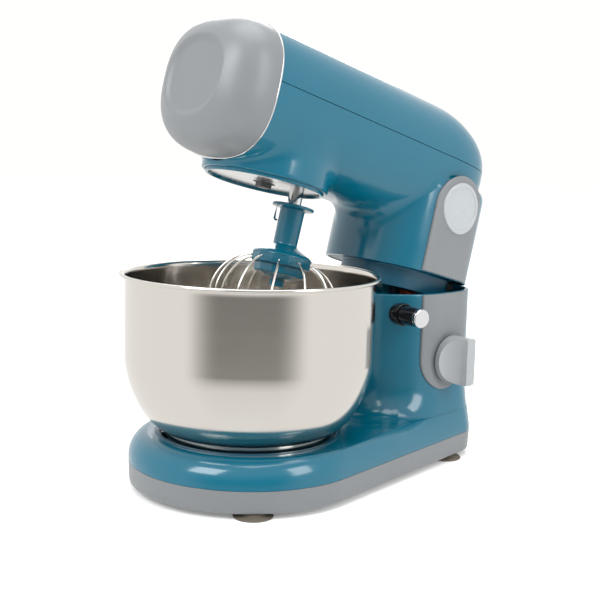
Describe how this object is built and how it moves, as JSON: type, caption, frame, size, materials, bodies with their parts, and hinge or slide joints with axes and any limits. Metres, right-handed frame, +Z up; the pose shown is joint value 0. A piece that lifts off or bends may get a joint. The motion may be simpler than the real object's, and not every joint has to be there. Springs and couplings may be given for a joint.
{
  "type": "stand mixer",
  "caption": "Tilt-head stand mixer with a steel bowl on its base, a speed knob and a whisk under the planetary drive, head tilted back.",
  "frame": {"origin": "middle of the footprint box, on the worktop under the feet", "axes": "+Z up; -Y is the front, where the bowl stands; +X is the side with the speed knob"},
  "size_m": [0.23, 0.3892, 0.4057],
  "materials": {
    "blue_plastic": "gloss teal blue ABS",
    "dark_blue_plastic": "satin dark teal ABS",
    "grey_plastic": "satin grey ABS",
    "light_grey_plastic": "satin light grey ABS",
    "black_plastic": "gloss black ABS",
    "red_plastic": "gloss red",
    "foot_rubber": "matt",
    "belt_rubber": "matt",
    "knob_silver": "silver grey paint",
    "chrome": "mirror bright",
    "polished_steel": "polished stainless steel",
    "dark_steel": "dull",
    "cast_aluminium": "as cast",
    "gear_plastic": "natural acetal",
    "bronze": "dull",
    "board_green": "satin"
  },
  "bodies": {
    "base": {"base_tray": "grey_plastic", "foot_front_right": "foot_rubber", "foot_front_left": "foot_rubber", "foot_rear_right": "foot_rubber", "foot_rear_left": "foot_rubber", "base_housing": "blue_plastic", "bowl_seat": "dark_blue_plastic", "bowl_lock_ring": "dark_blue_plastic", "column_deck": "black_plastic", "control_panel": "grey_plastic", "column_trim_left": "grey_plastic", "speed_switch": "black_plastic", "control_board": "board_green", "latch_block": "blue_plastic", "safety_switch": "red_plastic", "hinge_bracket_right": "dark_steel", "hinge_bracket_left": "dark_steel", "hinge_pin": "chrome", "release_collar": "black_plastic", "cable_gland": "black_plastic"},
    "knob": {"speed_knob": "knob_silver", "knob_shaft": "dark_steel"},
    "release": {"release_stem": "black_plastic", "release_cap": "chrome"},
    "bowl": {"bowl": "polished_steel", "bowl_foot": "polished_steel"},
    "head": {"head_top_cover": "blue_plastic", "head_lower_housing": "blue_plastic", "nose_cap": "grey_plastic", "chrome_ring": "chrome", "arm_bottom_plate": "dark_blue_plastic", "hinge_knuckle": "dark_steel", "arm_trim_right": "grey_plastic", "arm_trim_left": "grey_plastic", "badge_right": "light_grey_plastic", "badge_left": "light_grey_plastic", "motor_stator": "dark_steel", "gearbox_plate": "cast_aluminium", "drive_belt": "belt_rubber", "ring_gear": "gear_plastic", "spindle_bearing": "bronze"},
    "motor_rotor": {"motor_armature": "bronze", "motor_pulley": "cast_aluminium"},
    "planetary": {"main_spindle": "dark_steel", "large_pulley": "cast_aluminium", "planet_carrier": "blue_plastic", "planetary_plate": "polished_steel", "carrier_bolt": "dark_steel"},
    "beater": {"drive_shaft": "chrome", "planet_gear": "gear_plastic"},
    "whisk": {"whisk_hub": "blue_plastic", "whisk_wire_1": "polished_steel", "whisk_wire_2": "polished_steel", "whisk_wire_3": "polished_steel", "whisk_wire_4": "polished_steel", "whisk_wire_5": "polished_steel", "whisk_wire_6": "polished_steel"}
  },
  "joints": [
    {"name": "head_tilt", "type": "hinge", "parent": "base", "child": "head", "pos_m": [0, 0.1564, 0.19], "axis": [1, 0, 0], "range_deg": [0, 15]},
    {"name": "knob_turn", "type": "hinge", "parent": "base", "child": "knob", "pos_m": [0.07, 0.1174, 0.101], "axis": [1, 0, 0], "range_deg": [-40, 210]},
    {"name": "release_press", "type": "slide", "parent": "base", "child": "release", "axis": [-0.9848, 0.1736, 0], "range_m": [0, 0.006], "stiffness_N_per_m": 600, "springref_m": -0.002},
    {"name": "bowl_twist", "type": "hinge", "parent": "base", "child": "bowl", "pos_m": [0, -0.0796, 0.05], "axis": [0, 0, 1], "range_deg": [0, 30]},
    {"name": "planetary_spin", "type": "hinge", "parent": "head", "child": "planetary", "pos_m": [0, -0.06509, 0.27523], "axis": [0, 0.2588, 0.9659], "continuous": true},
    {"name": "beater_spin", "type": "hinge", "parent": "planetary", "child": "beater", "pos_m": [0, -0.02645, 0.26488], "axis": [0, 0.2588, 0.9659], "continuous": true},
    {"name": "motor_spin", "type": "hinge", "parent": "head", "child": "motor_rotor", "pos_m": [0, 0.11071, 0.22812], "axis": [0, 0.2588, 0.9659], "continuous": true},
    {"name": "whisk_push", "type": "slide", "parent": "beater", "child": "whisk", "axis": [0, 0.2588, 0.9659], "range_m": [0, 0.004], "stiffness_N_per_m": 400, "springref_m": -0.004}
  ],
  "couplings": [
    {"joint": "beater_spin", "follows": "planetary_spin", "ratio": -5.375},
    {"joint": "motor_spin", "follows": "planetary_spin", "ratio": 5.5}
  ]
}
